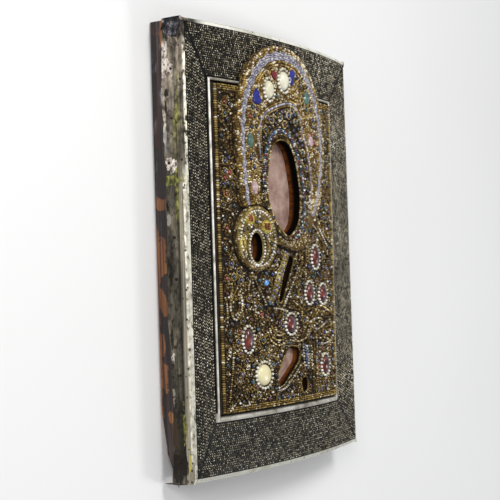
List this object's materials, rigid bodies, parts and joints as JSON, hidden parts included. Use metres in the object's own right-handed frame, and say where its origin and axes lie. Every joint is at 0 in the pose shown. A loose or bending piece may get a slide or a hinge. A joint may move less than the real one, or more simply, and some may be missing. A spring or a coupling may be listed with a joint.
{
  "type": "icon panel",
  "caption": "Warped wooden icon panel with sheet-silver sides, embossed silver border, and a raised beaded cover with haloes, set stones and open windows",
  "frame": {"origin": "middle of the bounding box, on the plane the panel lies on: the lowest of its wooden back", "axes": "+Z out of the decorated front, +Y to the icon's top, +X to the right as seen from the front"},
  "size_m": [0.2278, 0.3144, 0.0494],
  "materials": {
    "old_wood": "dark, dried-out and worn, with bare ochre patches",
    "side_silver": "thin silver sheet, tarnished, scratched and nailed",
    "dark_silver": "embossed silver sheet, blackened in the hollows",
    "bright_silver": "rubbed bright silver",
    "gold_thread": "gilt thread, cords and small glass stones on a stuffed ground",
    "halo_gold": "gilt thread and beads",
    "child_gold": "yellow gilt thread with red beaded strokes",
    "pearl": "cream pearls and pearl-white beads",
    "red_stone": "polished dark red stones",
    "white_stone": "polished cream stones",
    "blue_stone": "polished sky-blue stone"
  },
  "bodies": {
    "root": {"wood_board": "old_wood", "side_silver_left": "side_silver", "side_silver_right": "side_silver", "side_silver_top": "side_silver", "side_silver_bottom": "side_silver", "corner_tab_left": "dark_silver", "corner_tab_right": "dark_silver", "border_left": "dark_silver", "border_right": "dark_silver", "border_top": "dark_silver", "border_bottom": "dark_silver", "fillet_left": "bright_silver", "fillet_right": "bright_silver", "fillet_top": "bright_silver", "fillet_bottom": "bright_silver", "embroidered_cover": "gold_thread", "halo_large": "halo_gold", "halo_child": "child_gold", "crown_stone_left": "white_stone", "crown_stone_left_pearls": "pearl", "crown_stone_right": "white_stone", "crown_stone_right_pearls": "pearl", "red_stone_shoulder": "red_stone", "red_stone_shoulder_pearls": "pearl", "red_stone_breast": "red_stone", "red_stone_breast_pearls": "pearl", "red_stone_edge": "red_stone", "red_stone_edge_pearls": "pearl", "red_stone_left": "red_stone", "red_stone_left_pearls": "pearl", "red_stone_middle": "red_stone", "red_stone_middle_pearls": "pearl", "red_stone_sleeve": "red_stone", "red_stone_sleeve_pearls": "pearl", "white_stone_round": "white_stone", "white_stone_round_pearls": "pearl", "turquoise_stone": "blue_stone"}
  },
  "joints": []
}
